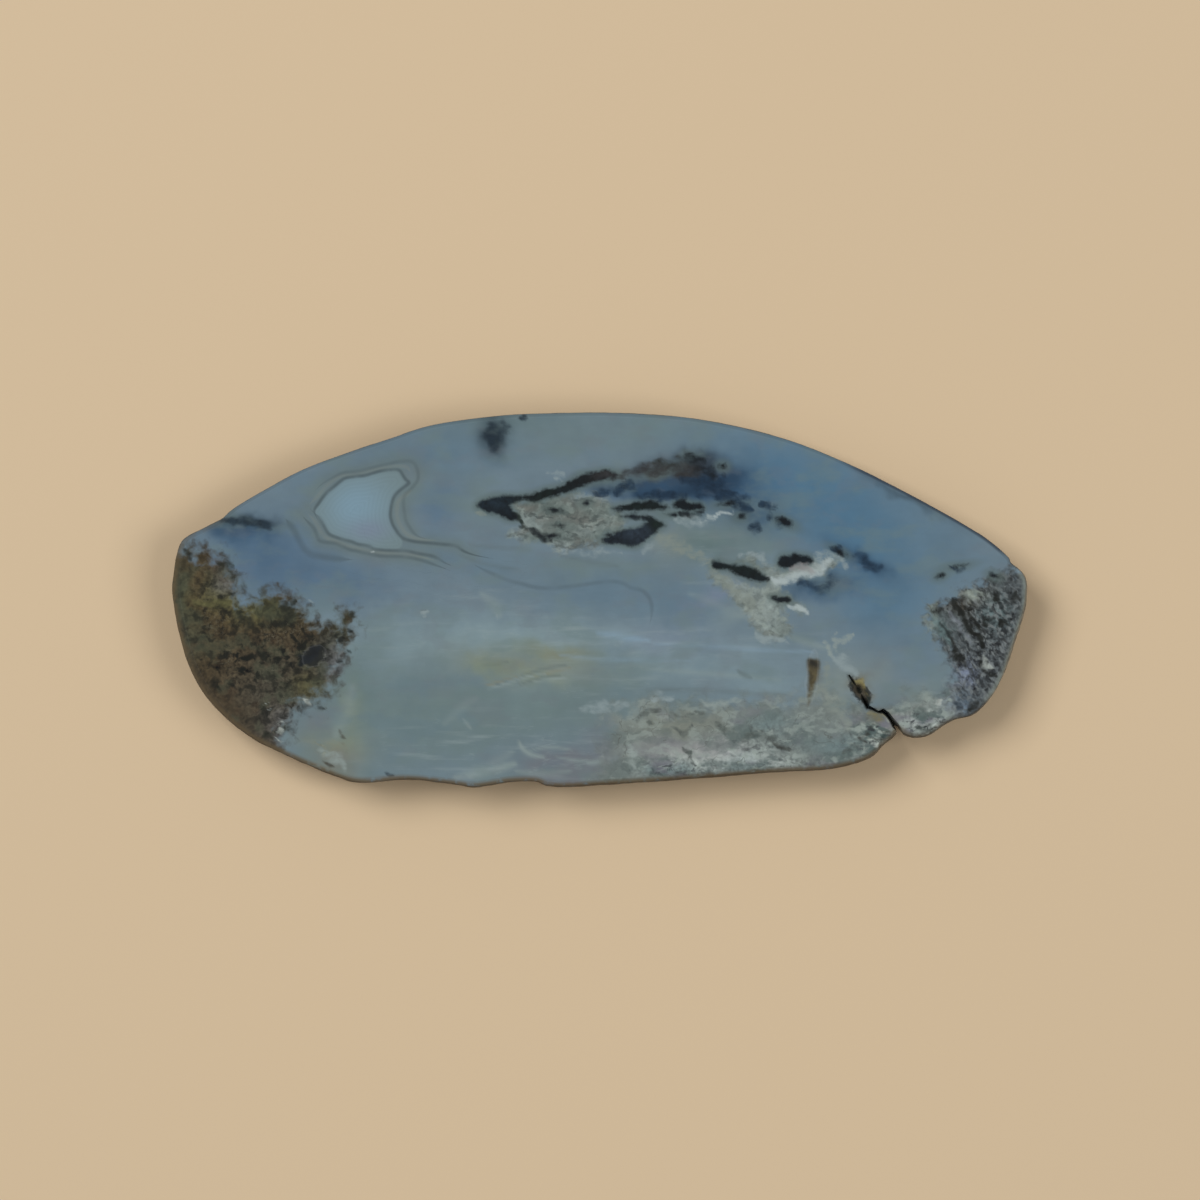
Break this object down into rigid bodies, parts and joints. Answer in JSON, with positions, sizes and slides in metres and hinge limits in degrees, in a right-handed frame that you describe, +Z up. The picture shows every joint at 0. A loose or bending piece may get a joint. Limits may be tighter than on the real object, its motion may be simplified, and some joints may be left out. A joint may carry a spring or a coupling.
{
  "type": "polished agate slice",
  "caption": "Flat oval slice of blue dendritic agate with two polished faces, a lumpy natural rind, an open edge fissure and a pitted pale crust.",
  "frame": {"origin": "on the surface that the slice lies on, under the middle of its bounding box", "axes": "+X along the slice's length towards its fissured end, +Y towards its arched side, +Z up out of the polished face"},
  "size_m": [0.1, 0.0439, 0.006],
  "materials": {
    "agate": "polished blue grey chalcedony with moss and dendrites, matt crust and rind"
  },
  "bodies": {
    "root": {"agate_slice": "agate"}
  },
  "joints": []
}
